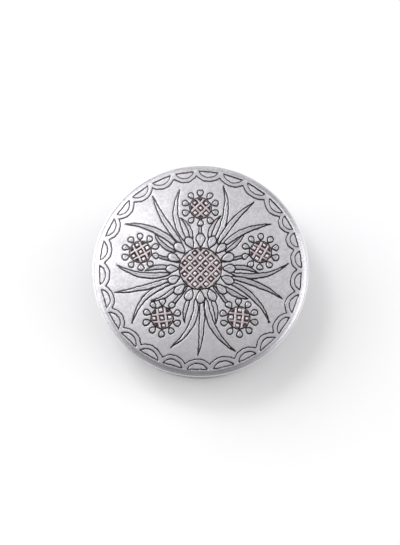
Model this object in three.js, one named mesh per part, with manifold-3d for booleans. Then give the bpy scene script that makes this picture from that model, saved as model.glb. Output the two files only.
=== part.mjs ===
// A round pewter box with a lift-off lid. Millimetres, +Z up, the origin under the middle of the foot.
// The body is a rolled wall soldered to a base plate, with a foot ring below and a bead round the mouth.
// The lid is one casting with a raised ornament, and a ring soldered under it that drops into the mouth.
import * as THREE from "three";
import { mergeVertices } from "three/addons/utils/BufferGeometryUtils.js";
import Module from "manifold-3d";

// Driving dimensions of the whole box
const boxHeight = 50;
const lidRadius = 75;
const roundSegments = 96;

// Lid casting: a flat disc, a low rounded shoulder and a thin lip that a finger lifts
const plateThickness = 1.8;
const lipThickness = 1.4;
const lipWidth = 0.9;
const lipEdgeRadius = 0.4;
const lipOverhang = 3.4;
const shoulderWidth = 3.6;
const shoulderEndSlope = THREE.MathUtils.degToRad(50);
const shoulderSteps = 6;
const lipEdgeSteps = 2;

// Body
const wallThickness = 1.6;
const beadWidth = 1.6;
const beadHeight = 3.4;
const beadSteps = 5;
const baseThickness = 2;
const baseOverhang = 0.8;
const baseEdgeChamfer = 0.5;
const footHeight = 2.6;
const footWidth = 4;
const footInset = 2.6;
const footEdgeChamfer = 0.7;

// Ring under the lid
const ringThickness = 1.6;
const ringReach = 4.4;
const ringEdgeChamfer = 0.5;

// Joints between the pieces
const solderGap = 0.05;
const seatGap = 0.1;
const mouthClearance = 0.4;
const filletLeg = 1.8;
const filletSteps = 3;

// Ornament: raised border, leaves and flowers round a sunken field
const reliefDepth = 0.5;
const cutOverrun = 1;
const lunetteInset = 0.3;
const lunetteDepth = 4.4;
const lunetteSpanShare = 0.78;
const scallopBand = 2.9;
const scallopRise = 4.2;
const arcSteps = 8;
const borderStart = THREE.MathUtils.degToRad(4.4);
// How far each lunette strays from even spacing, as a share of the pitch: the border was laid out by hand
const driftShares = [
  0, 0.08, 0.14, 0.35, 0.16, -0.05, -0.24, -0.28, -0.34, -0.3, -0.29, -0.3, -0.26,
  -0.17, -0.18, -0.13, -0.08, -0.09, -0.11, -0.09, -0.05, -0.03, 0, -0.03, 0.01, 0.02,
];

// Flowers: a large one in the middle and a ring of smaller ones on stems. Each has a disc and loose petals.
const flowerRingShare = 0.69;
const middleDiscRadius = 14.7;
const middlePetals = 16;
const middlePetalLength = 9.2;
const middlePetalWidth = 5.9;
const outerDiscRadius = 7.6;
const outerPetals = 10;
const outerPetalLength = 5;
const outerPetalWidth = 4.2;
const petalGap = 0.7;
const petalSteps = 5;
const discSteps = 24;
const stemWidth = 2;
// The outer flowers were set out by eye: how far each strays from its place, as a share of its sector
const flowerDriftShares = [0, 0.03, -0.02, 0.02, -0.03];

// Seed cells: small sunken lozenges in each flower's disc
const cellPitch = 5.2;
const cellRib = 1.25;
const discRim = 0.6;

// Leaves: each row is one leaf of the group that fills the space between two outer flowers.
// Places along the sector are shares of a sector, and reaches are shares of the sunken field's radius.
const leafWidth = 3.9;
const leafSteps = 7;
const leafTuck = 3.5;
const leafRows = [
  { rootShare: -0.02, tipShare: 0.03, reachShare: 0.96, bendShare: 0.05, widthShare: 1 },
  { rootShare: -0.14, tipShare: -0.3, reachShare: 0.97, bendShare: -0.13, widthShare: 0.95 },
  { rootShare: 0.12, tipShare: 0.29, reachShare: 0.93, bendShare: 0.12, widthShare: 0.95 },
  { rootShare: -0.27, tipShare: -0.2, reachShare: 0.64, bendShare: 0.1, widthShare: 0.8 },
  { rootShare: 0.27, tipShare: 0.21, reachShare: 0.62, bendShare: -0.1, widthShare: 0.8 },
];

// How outlines swell: a power under one moves the widest place towards the root, or fills the outline out
const leafSwell = { placePower: 2 / 3, widthPower: 3 / 4 };
const petalSwell = { placePower: 3 / 2, widthPower: 1 / 2 };

// Radii and heights that follow
const shoulderDrop = shoulderWidth * Math.tan(shoulderEndSlope / 2);
const shoulderCurve = shoulderWidth / Math.sin(shoulderEndSlope);
const lipUnderside = boxHeight - shoulderDrop - lipThickness;
const topRadius = lidRadius - lipWidth - shoulderWidth;
const plateUnderside = boxHeight - plateThickness;
const wallOuterRadius = lidRadius - lipOverhang;
const wallInnerRadius = wallOuterRadius - wallThickness;
const ringOuterRadius = wallInnerRadius - mouthClearance;
const ringInnerRadius = ringOuterRadius - ringThickness;
const baseTop = footHeight + baseThickness;
const baseRadius = wallOuterRadius + baseOverhang;
const wallTop = lipUnderside - seatGap;
const footOuterRadius = wallOuterRadius - footInset;
const footInnerRadius = footOuterRadius - footWidth;
const lunetteChordRadius = topRadius - lunetteInset;
const fieldRadius = lunetteChordRadius - lunetteDepth - scallopBand;
const cuspRadius = fieldRadius + scallopRise;
const borderPitch = (2 * Math.PI) / driftShares.length;
const leafRootRadius = middleDiscRadius + petalGap + middlePetalLength - leafTuck;

const pewter = (color, roughness) => new THREE.MeshStandardMaterial({ color, roughness, metalness: 1 });
const castPewter = pewter(0xb9b9bd, 0.38);
const spunPewter = pewter(0xb4b5ba, 0.32);
const solder = pewter(0xa2a2a6, 0.55);

const wasm = await Module();
wasm.setup();

// A closed three.js geometry as a solid that can be cut and joined
function toSolid(geometry) {
  const bare = geometry.clone();
  bare.deleteAttribute("normal");
  bare.deleteAttribute("uv");
  const merged = mergeVertices(bare);
  return new wasm.Manifold(
    new wasm.Mesh({
      numProp: 3,
      vertProperties: merged.attributes.position.array,
      triVerts: new Uint32Array(merged.index.array),
    }),
  );
}

function toGeometry(solid) {
  const mesh = solid.getMesh();
  const geometry = new THREE.BufferGeometry();
  geometry.setAttribute("position", new THREE.BufferAttribute(mesh.vertProperties, mesh.numProp));
  geometry.setIndex(new THREE.BufferAttribute(mesh.triVerts, 1));
  geometry.computeVertexNormals();
  return geometry;
}

// Turns a profile of [radius, height] points round +Z. The profile runs up the outside of the piece.
function turned(profile) {
  const points = profile.map(([radius, height]) => new THREE.Vector2(radius, height));
  return new THREE.LatheGeometry(points, roundSegments).rotateX(Math.PI / 2);
}

// Points of a quarter ellipse about a centre, from one angle to another
function quarter(centre, semiRadius, semiHeight, from, to, steps) {
  return Array.from({ length: steps + 1 }, (_, i) => {
    const angle = THREE.MathUtils.lerp(from, to, i / steps);
    return [centre[0] + semiRadius * Math.cos(angle), centre[1] + semiHeight * Math.sin(angle)];
  });
}

// A point in the lid's plane: a bearing runs clockwise from +Y, seen from above
const atBearing = (radius, bearing) =>
  new THREE.Vector2(radius * Math.sin(bearing), radius * Math.cos(bearing));

// A flat outline as an upright prism between two heights
function prism(outline, bottom, top) {
  const shape = new THREE.Shape(outline);
  const geometry = new THREE.ExtrudeGeometry(shape, { depth: top - bottom, bevelEnabled: false });
  return toSolid(geometry.translate(0, 0, bottom));
}

// Height of a circular arc above its chord, at a place from -1 to 1 along the chord
function arcHeight(place, halfChord, rise) {
  const radius = (halfChord ** 2 + rise ** 2) / (2 * rise);
  return Math.sqrt(Math.max(0, radius ** 2 - (place * halfChord) ** 2)) - (radius - rise);
}

// The border's lunettes: each has its own bearing and the bearings of its two cusps
function lunettes() {
  const bearings = driftShares.map((drift, i) => borderStart + (i + drift) * borderPitch);
  const count = bearings.length;
  return bearings.map((bearing, i) => {
    const before = i ? bearings[i - 1] : bearings[count - 1] - 2 * Math.PI;
    const after = i < count - 1 ? bearings[i + 1] : bearings[0] + 2 * Math.PI;
    return { bearing, from: (before + bearing) / 2, to: (bearing + after) / 2 };
  });
}

// One arc of the border between two bearings, bulging inwards from a radius
function borderArc(from, to, radius, rise) {
  const halfChord = (radius * (to - from)) / 2;
  return Array.from({ length: arcSteps + 1 }, (_, i) => {
    const place = (2 * i) / arcSteps - 1;
    const bearing = THREE.MathUtils.lerp(from, to, i / arcSteps);
    return atBearing(radius - arcHeight(place, halfChord, rise), bearing);
  });
}

function lunetteOutline({ bearing, from, to }) {
  const start = THREE.MathUtils.lerp(bearing, from, lunetteSpanShare);
  const end = THREE.MathUtils.lerp(bearing, to, lunetteSpanShare);
  return borderArc(start, end, lunetteChordRadius, lunetteDepth);
}

function fieldOutline() {
  return lunettes().flatMap(({ from, to }) => borderArc(from, to, cuspRadius, scallopRise).slice(1));
}

// Half the width of an outline at a place from 0 at its root to 1 at its tip
const swell = ({ placePower, widthPower }, width, place) =>
  (width / 2) * Math.max(0, Math.sin(Math.PI * place ** placePower)) ** widthPower;

// A closed outline from its two flanks: pointAt(sign, place) gives a point on the left for 1, right for -1
function flanked(steps, pointAt) {
  const left = Array.from({ length: steps }, (_, i) => pointAt(1, i / steps));
  const right = Array.from({ length: steps }, (_, i) => pointAt(-1, 1 - i / steps));
  return [...left, ...right];
}

// A pointed blade along a bent line between two points; bend is the line's bulge to its left
function bladeOutline(root, tip, bend, width) {
  const along = tip.clone().sub(root);
  const side = new THREE.Vector2(-along.y, along.x).normalize();
  const middle = root.clone().lerp(tip, 1 / 2).addScaledVector(side, 2 * bend);
  const spine = new THREE.QuadraticBezierCurve(root, middle, tip);
  return flanked(leafSteps, (sign, place) => {
    const { x, y } = spine.getTangent(place);
    const half = swell(leafSwell, width, place);
    return spine.getPoint(place).addScaledVector(new THREE.Vector2(-y, x), sign * half);
  });
}

// A rounded petal that starts at a distance from a centre and grows along a bearing
function petalOutline(centre, bearing, innerRadius, length, width) {
  const out = atBearing(1, bearing);
  const side = new THREE.Vector2(-out.y, out.x);
  return flanked(petalSteps, (sign, place) => {
    const foot = centre.clone().addScaledVector(out, innerRadius + length * place);
    return foot.addScaledVector(side, sign * swell(petalSwell, width, place));
  });
}

function circleOutline(centre, radius) {
  const step = (2 * Math.PI) / discSteps;
  return Array.from({ length: discSteps }, (_, i) => atBearing(radius, -i * step).add(centre));
}

// Lozenge cells on a diagonal lattice that covers a disc
function seedCells(centre, radius, facing) {
  const half = (cellPitch - cellRib) / 2;
  const most = Math.ceil(radius / cellPitch);
  const cells = [];
  for (let row = -most; row <= most; row += 1) {
    for (let column = -most; column <= most; column += 1) {
      const middle = new THREE.Vector2(row * cellPitch, column * cellPitch);
      if (middle.length() - half > radius - discRim) continue;
      const corners = [[1, 1], [-1, 1], [-1, -1], [1, -1]];
      cells.push(
        corners.map(([x, y]) =>
          new THREE.Vector2(x * half, y * half)
            .add(middle)
            .rotateAround(new THREE.Vector2(), Math.PI / 4 - facing)
            .add(centre),
        ),
      );
    }
  }
  return cells;
}

// A flower: its raised outlines, the cells sunk in its disc, and the circle that cuts the outer cells off
function flower(centre, facing, discRadius, petals, length, width) {
  const raised = Array.from({ length: petals }, (_, i) =>
    petalOutline(centre, facing + (2 * Math.PI * i) / petals, discRadius + petalGap, length, width),
  );
  raised.push(circleOutline(centre, discRadius));
  const cells = seedCells(centre, discRadius, facing);
  const rim = circleOutline(centre, discRadius - discRim);
  return { raised, cells, rim };
}

// The leaves of the group that grows about a bearing
function leafGroup(bearing, sector) {
  return leafRows.map(({ rootShare, tipShare, reachShare, bendShare, widthShare }) => {
    const root = atBearing(leafRootRadius, bearing + rootShare * sector);
    const tip = atBearing(reachShare * fieldRadius, bearing + tipShare * sector);
    return bladeOutline(root, tip, bendShare * root.distanceTo(tip), widthShare * leafWidth);
  });
}

// Everything that stands up from the field, and the flowers whose cells are sunk in it again
function ornament() {
  const sector = (2 * Math.PI) / flowerDriftShares.length;
  const middle = new THREE.Vector2();
  const blooms = [flower(middle, 0, middleDiscRadius, middlePetals, middlePetalLength, middlePetalWidth)];
  const greens = [];
  flowerDriftShares.forEach((drift, i) => {
    const bearing = (i + drift) * sector;
    const seat = atBearing(flowerRingShare * fieldRadius, bearing);
    blooms.push(flower(seat, bearing, outerDiscRadius, outerPetals, outerPetalLength, outerPetalWidth));
    greens.push(bladeOutline(atBearing(middleDiscRadius - stemWidth, i * sector), seat, 0, stemWidth));
    greens.push(...leafGroup((i + 1 / 2) * sector, sector));
  });
  return { raised: [...greens, ...blooms.flatMap((bloom) => bloom.raised)], blooms };
}

// The lid casting: the turned blank, less the lunettes and the field that lies round the raised ornament
function lidPlate() {
  const lipTop = lipUnderside + lipThickness;
  const lowEdge = [lidRadius - lipEdgeRadius, lipUnderside + lipEdgeRadius];
  const highEdge = [lidRadius - lipEdgeRadius, lipTop - lipEdgeRadius];
  const middle = [topRadius, boxHeight - shoulderCurve];
  const foot = Math.PI / 2 - shoulderEndSlope;
  const shoulder = quarter(middle, shoulderCurve, shoulderCurve, foot, Math.PI / 2, shoulderSteps);
  const blank = toSolid(
    turned([
      [0, plateUnderside],
      [ringOuterRadius + solderGap, plateUnderside],
      [ringOuterRadius + solderGap, lipUnderside],
      ...quarter(lowEdge, lipEdgeRadius, lipEdgeRadius, -Math.PI / 2, 0, lipEdgeSteps),
      ...quarter(highEdge, lipEdgeRadius, lipEdgeRadius, 0, Math.PI / 2, lipEdgeSteps),
      ...shoulder,
      [0, boxHeight],
    ]),
  );
  const floor = boxHeight - reliefDepth;
  const above = boxHeight + cutOverrun;
  const { raised, blooms } = ornament();
  const prisms = (outlines) =>
    wasm.Manifold.union(outlines.map((outline) => prism(outline, floor, above)));
  const islands = wasm.Manifold.union(
    raised.map((outline) => prism(outline, floor - cutOverrun, above + cutOverrun)),
  );
  const field = prism(fieldOutline(), floor, above).subtract(islands);
  const seeds = blooms.map(({ cells, rim }) =>
    prisms(cells).intersect(prism(rim, floor - cutOverrun, above + cutOverrun)),
  );
  const pockets = prisms(lunettes().map(lunetteOutline));
  return toGeometry(blank.subtract(wasm.Manifold.union([field, pockets, ...seeds])));
}

// A ring of solder in a square corner, hollow towards the open side: up is 1 on a floor, -1 under a ceiling
function solderFillet(cornerRadius, cornerHeight, up) {
  const centre = [cornerRadius - filletLeg, cornerHeight + up * filletLeg];
  const hollow = quarter(centre, filletLeg, filletLeg, (-up * Math.PI) / 2, 0, filletSteps);
  const profile = [...hollow, [cornerRadius, cornerHeight], hollow[0]];
  return turned(up > 0 ? profile.reverse() : profile);
}

function rectangleRing(innerRadius, outerRadius, bottom, top) {
  return turned([
    [innerRadius, bottom],
    [outerRadius, bottom],
    [outerRadius, top],
    [innerRadius, top],
    [innerRadius, bottom],
  ]);
}

// The half-round bead soldered round the outside of the wall's top
function mouthBead() {
  const inner = wallOuterRadius + solderGap;
  const middle = wallTop - beadHeight / 2;
  const curve = quarter([inner, middle], beadWidth, beadHeight / 2, -Math.PI / 2, Math.PI / 2, beadSteps);
  return turned([...curve, curve[0]]);
}

function footRing() {
  return turned([
    [footInnerRadius, 0],
    [footOuterRadius - footEdgeChamfer, 0],
    [footOuterRadius, footEdgeChamfer],
    [footOuterRadius, footHeight],
    [footInnerRadius, footHeight],
    [footInnerRadius, 0],
  ]);
}

function basePlate() {
  return turned([
    [0, footHeight],
    [baseRadius - baseEdgeChamfer, footHeight],
    [baseRadius, footHeight + baseEdgeChamfer],
    [baseRadius, baseTop - baseEdgeChamfer],
    [baseRadius - baseEdgeChamfer, baseTop],
    [0, baseTop],
  ]);
}

function locatingRing() {
  const bottom = lipUnderside - ringReach;
  return turned([
    [ringInnerRadius, bottom],
    [ringOuterRadius - ringEdgeChamfer, bottom],
    [ringOuterRadius, bottom + ringEdgeChamfer],
    [ringOuterRadius, plateUnderside],
    [ringInnerRadius, plateUnderside],
    [ringInnerRadius, bottom],
  ]);
}

function piece(name, geometry, material) {
  const mesh = new THREE.Mesh(geometry, material);
  mesh.name = name;
  return mesh;
}

const body = new THREE.Group();
body.add(
  piece("foot_ring", footRing(), castPewter),
  piece("base_plate", basePlate(), spunPewter),
  piece("body_wall", rectangleRing(wallInnerRadius, wallOuterRadius, baseTop, wallTop), spunPewter),
  piece("mouth_bead", mouthBead(), castPewter),
  piece("base_solder_fillet", solderFillet(wallInnerRadius - solderGap, baseTop, 1), solder),
);

const lid = new THREE.Group();
lid.add(
  piece("lid_plate", lidPlate(), castPewter),
  piece("locating_ring", locatingRing(), spunPewter),
  piece("lid_solder_fillet", solderFillet(ringInnerRadius - solderGap, plateUnderside, -1), solder),
);

const pewterBox = new THREE.Group();
pewterBox.add(body, lid);

export default pewterBox;
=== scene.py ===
"""A round pewter box with a lift-off lid, dressed over its fixed frame.

Lengths are in millimetres, unless a name says otherwise, and are turned into metres where a mesh is made.
"""
import math

import bpy
import numpy as np
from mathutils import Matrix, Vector
from mathutils.geometry import delaunay_2d_cdt


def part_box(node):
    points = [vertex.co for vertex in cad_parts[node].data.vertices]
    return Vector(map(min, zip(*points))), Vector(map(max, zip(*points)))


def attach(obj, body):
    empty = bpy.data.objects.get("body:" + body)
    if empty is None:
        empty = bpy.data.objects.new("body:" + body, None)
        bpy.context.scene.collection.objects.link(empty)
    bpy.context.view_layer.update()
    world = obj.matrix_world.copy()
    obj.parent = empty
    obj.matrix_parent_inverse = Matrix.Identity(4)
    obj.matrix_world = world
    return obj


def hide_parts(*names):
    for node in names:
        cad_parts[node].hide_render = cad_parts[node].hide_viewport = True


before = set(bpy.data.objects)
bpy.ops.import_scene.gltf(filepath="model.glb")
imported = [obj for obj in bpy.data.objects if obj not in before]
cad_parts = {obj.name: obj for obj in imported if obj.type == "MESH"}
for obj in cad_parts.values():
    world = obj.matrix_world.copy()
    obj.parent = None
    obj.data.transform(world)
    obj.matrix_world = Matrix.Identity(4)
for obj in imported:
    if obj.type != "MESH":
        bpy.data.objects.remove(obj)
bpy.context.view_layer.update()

MM = 0.001  # metres in a millimetre
TURN = 2 * math.pi

# The photograph's frame, and where the rim of the lid lies in it
PHOTO_SIZE_PX = (400, 545)
LID_CENTRE_PX = (200.5, 271.5)
LID_RADIUS_PX = 107.8
CAMERA_ELEVATION = math.radians(79)
CAMERA_DISTANCE = 640
SENSOR = 36
CLIP_SHARES = (0.05, 20)

# The lid's round part, outside its ornament
LIP_WIDTH = 0.9
LIP_THICKNESS = 1.4
LIP_EDGE_RADIUS = 0.32
SHOULDER_WIDTH = 3.6
SHOULDER_STEPS = 14
SHOULDER_FOOT_REACH = 0.25
STEP_EDGE_REACH = 0.5
RING_CLEARANCE = 0.08
GROOVE_RADII_SHARES = (0.3, 0.62)
TURNED_GROOVE_WIDTH = 1.2
TURNED_GROOVE_DEPTH = 0.25
ROUND_SEGMENTS = 360
FILLET_STEPS = 5
CORNER_POINTS = FILLET_STEPS + 3  # with one more on each side
SUPPORT_SHARE = 1.6

# The rest of the box: walls and legs of its rings, and how soft their edges are
WALL_THICKNESS = 1.6
WALL_EDGE_REACH = 0.3
SEAM_WIDTH = 1.3
SEAM_DEPTH = 0.09
SEAM_STEPS = 8
WALL_ROWS = 14
# How uneven the rolled sheet is: depth, swells round the wall, height of a swell, and a phase
SHEET_WAVES = ((0.035, 7, 61, 0.4), (0.025, 17, 37, 2.1), (0.015, 41, 23, 4.4))
BEAD_WIDTH = 1.6
BEAD_STEPS = 20
BEAD_EDGE_REACH = 0.12
# Painted shade on the bead's upper half, where the lid's lip overhangs it
BEAD_SHADE_SHARE = 0.6
FOOT_WIDTH = 4
FOOT_EDGE_REACH = 1.1
FOOT_INNER_EDGE_REACH = 0.5
BASE_EDGE_REACH = 0.8
LOCATING_RING_THICKNESS = 1.6
LOCATING_RING_EDGE_REACH = 0.7
SOLDER_STEPS = 8
SOLDER_RIPPLE_SHARES = ((0.05, 31, 0.4), (0.04, 53, 1.7), (0.03, 12, 2.9))
# How far painted shade spreads on the wall from under the bead and from its foot
WALL_SHADE_REACH = 1.6

# The border of lunettes
LUNETTE_INSET = 0.3
LUNETTE_DEPTH = 4.4
LUNETTE_SPAN_SHARE = 0.78
SCALLOP_BAND = 2.9
SCALLOP_RISE = 4.2
BORDER_START = math.radians(4.4)
DRIFT_SHARES = (
    0, 0.08, 0.14, 0.35, 0.16, -0.05, -0.24, -0.28, -0.34, -0.3, -0.29, -0.3, -0.26,
    -0.17, -0.18, -0.13, -0.08, -0.09, -0.11, -0.09, -0.05, -0.03, 0, -0.03, 0.01, 0.02,
)

# The flowers: one in the middle, and a ring of smaller ones
FLOWER_RING_SHARE = 0.69
FLOWER_DRIFT_SHARES = (0, 0.03, -0.02, 0.02, -0.03)
MIDDLE_FLOWER = {"disc": 14.7, "petals": 16, "length": 9.2, "width": 5.9}
OUTER_FLOWER = {"disc": 7.6, "petals": 10, "length": 5, "width": 4.2}
PETAL_GAP = 0.7
STEM_WIDTH = 2
CELL_PITCH = 5.2
CELL_RIB = 1.25
DISC_RIM = 0.6

# The leaves of one group. Each row is a root, a tip, a reach, a bend and a width.
LEAF_WIDTH = 3.9
LEAF_TUCK = 3.5
LEAF_SHARES = (
    (-0.27, -0.2, 0.64, 0.1, 0.8),
    (0.27, 0.21, 0.62, -0.1, 0.8),
    (-0.14, -0.3, 0.97, -0.13, 0.95),
    (0.12, 0.29, 0.93, 0.12, 0.95),
    (-0.02, 0.03, 0.96, 0.05, 1),
)
LEAF_POWERS = (2 / 3, 3 / 4)
PETAL_POWERS = (3 / 2, 1 / 2)
LEAF_STEPS = 26
PETAL_STEPS = 12
DISC_STEPS = 72
ARC_STEPS = 22
# A midrib leaves a fifth of its leaf bare at the root, and a quarter at the tip
RIB_ROOT_PART = 5
RIB_TIP_PART = 4

# Depths and widths of the relief
FIELD_DEPTH = 0.5
BACK_LEAF_DEPTH = 0.14
STEP_REACH = 0.24
CROWN_DEPTH = 0.16
CROWN_REACH = 0.9
GROOVE_DEPTH = 0.18
GROOVE_REACH = 0.42
BORDER_GROOVE_REACH = 0.35
RIB_LINE_DEPTH = 0.07
RIB_LINE_REACH = 0.2
CELL_DEPTH = 0.5
CELL_SLOPE = 0.22
SEED_HALF_SHARE = 0.48
SEED_PLACE_DRIFT_SHARE = 0.12
SEED_SIZE_DRIFT_SHARE = 0.2
SEED_HEIGHT_SHARE = 0.72
SEED_BARE_SHARE = 0.97
# How fast two shifts and a change of size swing from seed to seed, along a lattice row and across it
SEED_DRIFT_RATES = ((2.3, 5.1, 3.3), (4.7, 1.9, 3.9))

# How unsteady the engraver's hand was: each wave moves all lines by an amount, over a wavelength
HAND_WAVES = ((0.17, 23, 0.3), (0.13, 11.3, 1.9), (0.12, 5.1, 4.2), (0.07, 3.1, 0.9))
STEADY_ROUNDS = 4

# How far single leaves and petals stray from their places and sizes, and how ragged the cut lines are
LEAF_DRIFT_SHARE = 0.015
BEND_DRIFT_SHARE = 0.3
WIDTH_DRIFT_SHARE = 0.14
PETAL_DRIFT_SHARE = 0.07
RAGGED_WAVES = ((0.08, 3.3, 0.7), (0.06, 1.9, 2.6))
DICE_START = 11
dice = np.random.default_rng(DICE_START)

# How far from an edge the metal is rubbed bright or a crease gets painted shade, how much painted highlight
# the lip's top gets, and how much the seeds are rubbed bright
WEAR_AND_SHADE_REACH = 0.35
LIP_HIGHLIGHT_SHARE = 0.85
SEED_WEAR_SHARE = 0.5

# Where the relief's mesh has its points
LINE_STEP = 0.74
LINE_ROWS = (0, 0.2, 0.4, 0.64, 0.98)
RIM_ROWS = (0, 0.12, 0.25)
RIB_ROWS = (0, 0.14, 0.32)
FLAT_STEP = 1.8
FLAT_CLEARANCE = 1.05
RIM_CLEARANCE = 0.35
FEWEST_STEPS = 4
CLOSEST_POINTS = 0.13
SHORTEST_STEP = CLOSEST_POINTS / 4
CELL_STATION_SHARES = (
    -0.94, -0.8, -0.7, -0.58, -0.42, -0.3, -0.18, 0, 0.18, 0.3, 0.42, 0.58, 0.7, 0.8, 0.94,
)
MESH_TOLERANCE = 1e-6

# The lid's texture map: two discs, as shares of the map's side
TOP_DISC_RADIUS_SHARE = 0.395
TOP_DISC_CENTRE_SHARE = 0.4
UNDER_DISC_RADIUS_SHARE = 0.175
UNDER_DISC_CENTRE_SHARE = 0.82

# Tones: lightness in linear light, and how much redder and bluer than grey
FIELD_TONE = (0.57, 0.01, 0.03)
RAISED_TONE = (0.5, 0.01, 0.07)
SHOULDER_TONE = (0.7, 0.01, 0.06)
DISC_TONE = (0.47, 0.1, 0.04)
# Painted shade for the front of the lid
FRONT_SHADE_TONE = (0.3, 0.03, 0.05)
# Rubbed bright edges and seeds, and the lip's painted highlight
BRIGHT_TONE = (0.78, 0.01, 0.03)
PATINA_TONES = ((0.016, 0.3, 0.1), (0.005, 0.2, 0.1))
# Painted sheen on the cut lines, towards the bright side
SHEEN_PATINA_TONE = (0.13, 0.1, 0.04)
# Painted shade in creases and under the lid's lip
PAINTED_SHADE_TONE = (0.05, 0.25, -0.05)
SOLDER_TONES = ((0.46, 0.01, 0.04), (0.34, 0.03, 0.02))
PAPER_TONES = ((0.9, 0, 0.012), (0.9, 0, 0))
BACKDROP_TONE = (0.85, 0, 0)
RUST_COLOURS = ((0.062, 0.014, 0.016, 1), (0.022, 0.006, 0.007, 1))
ROOM_COLOUR = (1, 0.995, 1, 1)
# Tones of a turned piece, with their lightness as a share of the piece's own
CLEAN_SHARES = (1, 0.01, 0.05)
WORN_SHARES = (1.25, 0.01, 0.03)
SEAM_SHARES = (0.66, 0.03, 0.03)

# Noises: scale to a metre, detail and roughness
LATHE_NOISES = ((2600, 2, 0.6), (240, 2, 0.5))
CLOUD_NOISE = (38, 4, 0.6)
MOTTLE_NOISE = (190, 4, 0.65)
SPECK_NOISE = (420, 5, 0.7)
GRIT_NOISE = (700, 3, 0.6)
GRAIN_NOISE = (1500, 3, 0.65)
TARNISH_NOISE = (32, 4, 0.6)
SPOT_NOISE = (150, 5, 0.65)
SCRATCH_NOISE = (420, 4, 0.65)
FROST_NOISE = (900, 4, 0.7)
DIMPLE_NOISE = (170, 3, 0.6)
PAPER_TINT_NOISE = (3, 2, 0.5)
PAPER_GRAIN_NOISE = (900, 3, 0.5)
# Scratches are a noise drawn out along Y
STREAK_TURN = (0.4, 0.25, 0.6)
STREAK_SHARES = (1, 0.1, 1)

# A spread is where on its mask a thing starts and is full, and how much of it there is at each
PATCHY_SPREAD = (0.3, 0.7, 0, 1)
INK_SPREAD = (0.12, 0.42, 0, 1)
BROKEN_INK_SPREAD = (0.2, 0.45, 0.82, 1)
RIB_INK_SPREAD = (0.1, 0.8, 0, 0.75)
BROKEN_RIB_SPREAD = (0.4, 0.6, 0.15, 1)
RUST_SPREAD = (0.1, 0.6, 0, 0.97)
# Patches of the painted shade in creases and under the lip
SHADE_PATCH_SPREAD = (0.3, 0.6, 0.35, 0.95)
DIMPLE_SPREAD = (0.35, 0.65, 0, 1)
# Stains: a spread and a tone
CLOUD_STAIN = ((0.4, 0.65, 0, 0.4), (0.46, 0.03, 0.04))
MOTTLE_STAIN = ((0.42, 0.62, 0, 0.32), (0.42, 0.03, 0.06))
GRIT_STAIN = ((0.44, 0.6, 0, 0.58), (0.38, 0.03, 0.05))
SPECK_STAIN = ((0.62, 0.72, 0, 0.5), (0.18, 0.05, 0.02))
TARNISH_STAIN_SHARES = ((0.35, 0.65, 0, 0.7), (0.68, 0.03, 0.03))
SPOT_STAIN_SHARES = ((0.45, 0.65, 0, 0.45), (0.7, 0.02, 0.05))
RING_STAIN_SHARES = ((0.4, 0.7, 0, 0.45), (0.75, 0.02, 0.05))
SEAM_STAIN_SHARE = 0.7
# How dark the painted shade in the lid's creases is
LID_SHADE_SHARE = 0.7

# Painted shade that darkens the front of the lid: full and gone places along Y, share, wander and shoulder
FRONT_SHADE_REACH = (-56, -20)
FRONT_SHADE_SHARE = 0.42
FRONT_SHADE_WANDER = 20
FRONT_SHADE_SHOULDER_SHARE = 0.95
# A painted sheen that lightens the lines towards one side: the way across the lid, and where it starts and is
# full
SHEEN_WAY = (-0.8, 0.6, 0)
SHEEN_REACH = (8, 70)

# Gloss: roughness, and how much of the light that comes back is mirrored and not scattered
FIELD_ROUGHNESS = 0.36
RAISED_ROUGHNESS = 0.325
DULL_ROUGHNESS = 0.2
SEAM_ROUGHNESS = 0.16
SHADE_GRIME_ROUGHNESS = 0.3
PAPER_ROUGHNESS = 0.7
CLOUD_ROUGHNESS_SPREAD = (0.3, 0.7, -0.04, 0.06)
TARNISH_ROUGHNESS_SPREAD = (0.3, 0.7, -0.015, 0.08)
SCRATCH_ROUGHNESS_SPREAD = (0.5, 0.7, 0, 0.12)
FROST_ROUGHNESS_SPREAD = (0.3, 0.7, 0.38, 0.62)
METAL_SHARE = 0.82
PATINA_DULL_SHARE = 0.9
SHADE_GRIME_DULL_SHARE = 0.8
LID_IOR = 1.26
TURNED_IOR = 1.25

# Bumps: strength and depth, and how much each noise adds
LID_BUMP = (0.3, 0.07)
TURNED_BUMP = (0.25, 0.1)
SOLDER_BUMP = (0.5, 0.3)
PAPER_BUMP = (0.05, 0.2)
FIELD_GRAIN_SHARE = 0.75
RAISED_GRAIN_SHARE = 0.25
LID_LATHE_SHARES = (0.3, 0.2)
SLOW_LATHE_SHARE = 0.6
SCRATCH_SHARE = 0.3
FROST_SHARE = 0.3

# Turned finishes: lightness, roughness and depth of the lathe's lines
SPUN_FINISH = (0.53, 0.3, 1)
ROLLED_FINISH = (0.52, 0.33, 0.8)
CAST_FINISH = (0.53, 0.36, 0.6)

# The studio. Only the camera sees the backdrop, which stands just inside the floor's edge.
FLOOR_SIZE = 12000
BACKDROP_RADIUS = 5800
BACKDROP_FOOT = -1000
BACKDROP_TOP = 9000
BACKDROP_SIDES = 96
ROOM_GLOW = 0.17
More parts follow.
